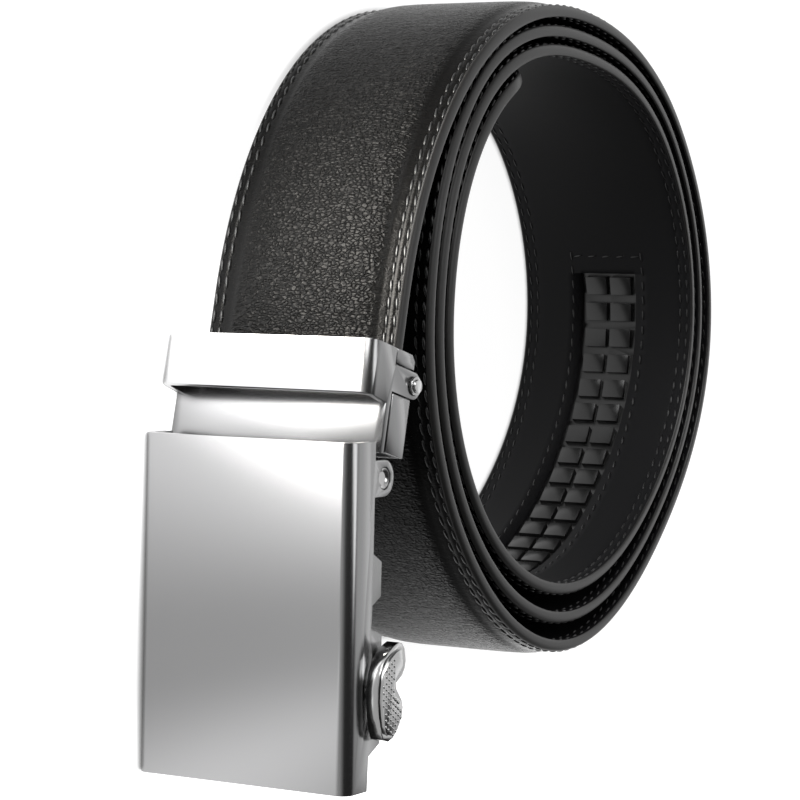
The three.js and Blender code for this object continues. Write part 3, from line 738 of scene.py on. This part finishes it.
def studio_world():
    """Room with pale walls and a dim ceiling, and three soft boxes: behind, overhead and low at the front."""
    world = bpy.data.worlds.new("studio")
    world.use_nodes = True
    tree = world.node_tree
    tree.nodes.clear()
    way = tree.nodes.new("ShaderNodeTexCoord").outputs["Generated"]

    def reach(value, low, high, start, finish):
        node = tree.nodes.new("ShaderNodeMapRange")
        node.interpolation_type = "SMOOTHSTEP"
        tree.links.new(value, node.inputs[0])
        for k, number in enumerate((low, high, start, finish)):
            node.inputs[k + 1].default_value = number
        return node.outputs[0]

    axes = tree.nodes.new("ShaderNodeSeparateXYZ")
    tree.links.new(way, axes.inputs[0])
    total = reach(axes.outputs[2], 0.05, 0.5, sizes().wall_light, sizes().ceiling_light)
    boxes = (((-0.25, 0.86, 0.45), 0.55, sizes().back_light), ((-0.28, 0.05, 0.96), 0.2, sizes().top_light),
             ((-0.72, -0.66, 0.2), 0.3, sizes().side_light))
    for direction, spread, strength in boxes:
        dot = tree.nodes.new("ShaderNodeVectorMath")
        dot.operation = "DOT_PRODUCT"
        tree.links.new(way, dot.inputs[0])
        dot.inputs[1].default_value = Vector(direction).normalized()
        box = reach(dot.outputs["Value"], math.cos(spread * 1.5), math.cos(spread * 0.7), 0.0, strength)
        add = tree.nodes.new("ShaderNodeMath")
        tree.links.new(total, add.inputs[0])
        tree.links.new(box, add.inputs[1])
        total = add.outputs[0]
    background = tree.nodes.new("ShaderNodeBackground")
    tree.links.new(total, background.inputs[1])
    output = tree.nodes.new("ShaderNodeOutputWorld")
    tree.links.new(background.outputs[0], output.inputs[0])
    return world


def make_stage():
    side = sizes().floor / 2
    data = bpy.data.meshes.new("floor")
    data.from_pydata([(-side, -side, 0), (side, -side, 0), (side, side, 0), (-side, side, 0)], [], [(0, 1, 2, 3)])
    data.materials.append(table_material())
    floor = bpy.data.objects.new("floor", data)
    bpy.context.scene.collection.objects.link(floor)
    bpy.context.scene.world = studio_world()

    data = bpy.data.cameras.new("camera")
    data.sensor_width, data.lens = SENSOR, LENS
    camera = bpy.data.objects.new("camera", data)
    bpy.context.scene.collection.objects.link(camera)
    elevation, roll = math.radians(CAMERA_ELEVATION), math.radians(CAMERA_ROLL)
    upward = Vector((0, math.sin(elevation), math.cos(elevation)))
    sideways = Vector((1, 0, 0))
    right = upward * math.cos(roll) + sideways * math.sin(roll)
    up = -sideways * math.cos(roll) + upward * math.sin(roll)
    look_from(camera, (Vector(CAMERA_PLACE) + Vector((*ROUTE.shift, 0))) * MM, right, up)
    bpy.context.scene.camera = camera
    bpy.context.scene.view_settings.view_transform = "Standard"


# Operators and panel

class BELT_OT_strap(bpy.types.Operator):
    """Build the padded strap with its painted edges and the window in its lining"""
    bl_idname = "belt.strap"
    bl_label = "Strap"

    def execute(self, context):
        make_strap()
        return {"FINISHED"}


class BELT_OT_stitches(bpy.types.Operator):
    """Sew the rows of stitches along the strap's edges and around the window"""
    bl_idname = "belt.stitches"
    bl_label = "Stitches"

    def execute(self, context):
        make_stitches()
        return {"FINISHED"}


class BELT_OT_track(bpy.types.Operator):
    """Finish the toothed track"""
    bl_idname = "belt.track"
    bl_label = "Track"

    def execute(self, context):
        rounded_copy("ratchet_track", "track", "belt", track_material(), 0.12 * MM)
        return {"FINISHED"}


class BELT_OT_buckle(bpy.types.Operator):
    """Finish the metal pieces of the buckle with rounded edges"""
    bl_idname = "belt.buckle"
    bl_label = "Buckle"

    def execute(self, context):
        satin, polished = satin_material(), polished_material()
        r = sizes().rounding
        rounded_copy("clamp_frame", "clamp", "belt", satin, r)
        rounded_copy("clamp_jaw", "jaw", "jaw", satin, r)
        rounded_copy("jaw_pin", "jaw_rivet", "belt", polished, 0.65 * MM)
        rounded_copy("case_pin", "hinge_pin", "belt", polished, r / 2, 0.6 * MM, 0.4 * MM)
        rounded_copy("buckle_case", "case", "case", satin, r)
        rounded_copy("release_knob", "knob", "release", polished, r)
        make_studs(polished)
        rounded_copy("ratchet_pawl", "pawl", "release", satin, r)
        return {"FINISHED"}


class BELT_OT_stage(bpy.types.Operator):
    """Lay the pale floor and set the light and the camera"""
    bl_idname = "belt.stage"
    bl_label = "Stage"

    def execute(self, context):
        make_stage()
        return {"FINISHED"}


OPERATORS = (BELT_OT_strap, BELT_OT_stitches, BELT_OT_track, BELT_OT_buckle, BELT_OT_stage)


class BELT_PT_panel(bpy.types.Panel):
    bl_label = "Ratchet belt"
    bl_idname = "BELT_PT_panel"
    bl_space_type = "VIEW_3D"
    bl_region_type = "UI"
    bl_category = "Belt"

    def draw(self, context):
        for group in (context.scene.belt_sizes, context.scene.belt_colours):
            for name in group.__annotations__:
                self.layout.prop(group, name)
        for operator in OPERATORS:
            self.layout.operator(operator.bl_idname)


CLASSES = (BeltSizes, BeltColours, *OPERATORS, BELT_PT_panel)


def register():
    for cls in CLASSES:
        bpy.utils.register_class(cls)
    bpy.types.Scene.belt_sizes = PointerProperty(type=BeltSizes)
    bpy.types.Scene.belt_colours = PointerProperty(type=BeltColours)


def unregister():
    del bpy.types.Scene.belt_colours
    del bpy.types.Scene.belt_sizes
    for cls in reversed(CLASSES):
        bpy.utils.unregister_class(cls)


def main():
    register()
    for operator in OPERATORS:
        group, name = operator.bl_idname.split(".")
        getattr(getattr(bpy.ops, group), name)()


if __name__ == "__main__":
    main()
